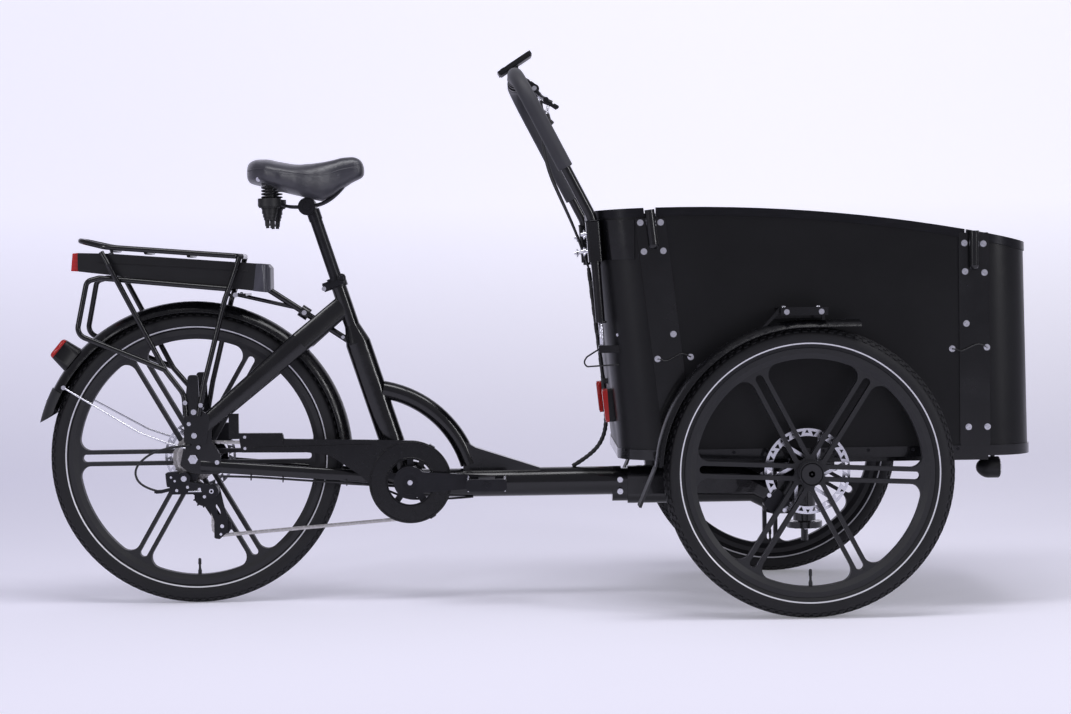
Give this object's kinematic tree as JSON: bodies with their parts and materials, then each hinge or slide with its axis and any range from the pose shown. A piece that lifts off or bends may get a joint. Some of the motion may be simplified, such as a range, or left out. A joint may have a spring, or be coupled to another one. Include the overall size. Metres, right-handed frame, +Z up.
{
  "type": "front-loading cargo tricycle",
  "caption": "Cargo tricycle with a large plywood box between its front wheels that steers as one unit, a driven rear wheel, a battery under the carrier and cast spoked wheels.",
  "frame": {"origin": "on the floor at the middle of the footprint box", "axes": "+X forward, +Y to the rider's left, +Z up"},
  "size_m": [2.1658, 0.894, 1.2181],
  "materials": {
    "black_alloy": "black anodised aluminium",
    "bright_steel": "brushed stainless steel",
    "case_plastic": "fine-textured black plastic",
    "chain_steel": "oiled nickel-plated steel",
    "frame_paint": "gloss black powder coat over steel",
    "grip_foam": "dark grey cellular foam",
    "guard_plastic": "gloss black plastic",
    "panel_ply": "satin black faced birch plywood",
    "red_lens": "clear red moulded lens",
    "saddle_vinyl": "charcoal grained vinyl over foam",
    "soft_rubber": "matt black rubber",
    "trim_profile": "satin dark grey edge profile",
    "tyre_rubber": "moulded black rubber with a reflective line",
    "wheel_paint": "matt black powder coat over cast aluminium"
  },
  "bodies": {
    "frame": {"battery": "case_plastic", "chain": "chain_steel", "chain_guard": "guard_plastic", "derailleur": "black_alloy", "dropouts": "frame_paint", "gear_cable": "soft_rubber", "main_frame": "frame_paint", "rack_deck": "frame_paint", "rack_legs": "frame_paint", "rack_strut": "frame_paint", "rear_axle": "bright_steel", "rear_brake_caliper": "black_alloy", "rear_lights": "red_lens", "rear_mudflap": "soft_rubber", "rear_mudguard": "guard_plastic", "rear_mudguard_stays": "bright_steel", "rear_stays": "frame_paint", "saddle": "saddle_vinyl", "saddle_frame": "black_alloy", "seat_clamp": "black_alloy", "seat_post": "black_alloy", "steering_conduit": "soft_rubber"},
    "front_unit": {"box_back": "panel_ply", "box_floor": "panel_ply", "box_front": "panel_ply", "box_hook": "bright_steel", "box_reflectors": "red_lens", "box_rim": "frame_paint", "box_sides": "panel_ply", "box_trim": "trim_profile", "brake_levers": "black_alloy", "control_cables": "soft_rubber", "corner_strips": "frame_paint", "display": "case_plastic", "front_calipers": "black_alloy", "front_chassis": "frame_paint", "front_mudflaps": "soft_rubber", "front_mudguards": "guard_plastic", "grips": "grip_foam", "handlebar": "frame_paint", "handlebar_mounts": "frame_paint", "headlamp": "case_plastic", "leg_strut": "frame_paint", "mudguard_brackets": "frame_paint", "strut_rod": "bright_steel"},
    "crankset": {"chainring": "bright_steel", "crankset": "black_alloy"},
    "front_wheel_left": {"front_disc_left": "bright_steel", "front_tyre_left": "tyre_rubber", "front_wheel_left": "wheel_paint"},
    "front_wheel_right": {"front_disc_right": "bright_steel", "front_tyre_right": "tyre_rubber", "front_wheel_right": "wheel_paint"},
    "pedal_left": {"pedal_left": "black_alloy"},
    "pedal_right": {"pedal_right": "black_alloy"},
    "rear_wheel": {"rear_brake_disc": "bright_steel", "rear_tyre": "tyre_rubber", "rear_wheel": "wheel_paint", "sprockets": "bright_steel"}
  },
  "joints": [
    {"name": "steering", "type": "hinge", "parent": "frame", "child": "front_unit", "pos_m": [0.6245, 0, 0.22], "axis": [0, 0, 1], "range_deg": [-35, 35], "deforming": ["steering_conduit"]},
    {"name": "rear_wheel_spin", "type": "hinge", "parent": "frame", "child": "rear_wheel", "pos_m": [-0.7325, 0, 0.3265], "axis": [0, 1, 0], "continuous": true},
    {"name": "front_wheel_right_spin", "type": "hinge", "parent": "front_unit", "child": "front_wheel_right", "pos_m": [0.5885, -0.4, 0.3035], "axis": [0, 1, 0], "continuous": true},
    {"name": "front_wheel_left_spin", "type": "hinge", "parent": "front_unit", "child": "front_wheel_left", "pos_m": [0.5885, 0.4, 0.3035], "axis": [0, 1, 0], "continuous": true},
    {"name": "crank_spin", "type": "hinge", "parent": "frame", "child": "crankset", "pos_m": [-0.2555, 0, 0.267], "axis": [0, 1, 0], "continuous": true},
    {"name": "pedal_right_spin", "type": "hinge", "parent": "crankset", "child": "pedal_right", "pos_m": [-0.0855, -0.1, 0.267], "axis": [0, 1, 0], "continuous": true},
    {"name": "pedal_left_spin", "type": "hinge", "parent": "crankset", "child": "pedal_left", "pos_m": [-0.4255, 0.1, 0.267], "axis": [0, 1, 0], "continuous": true}
  ]
}
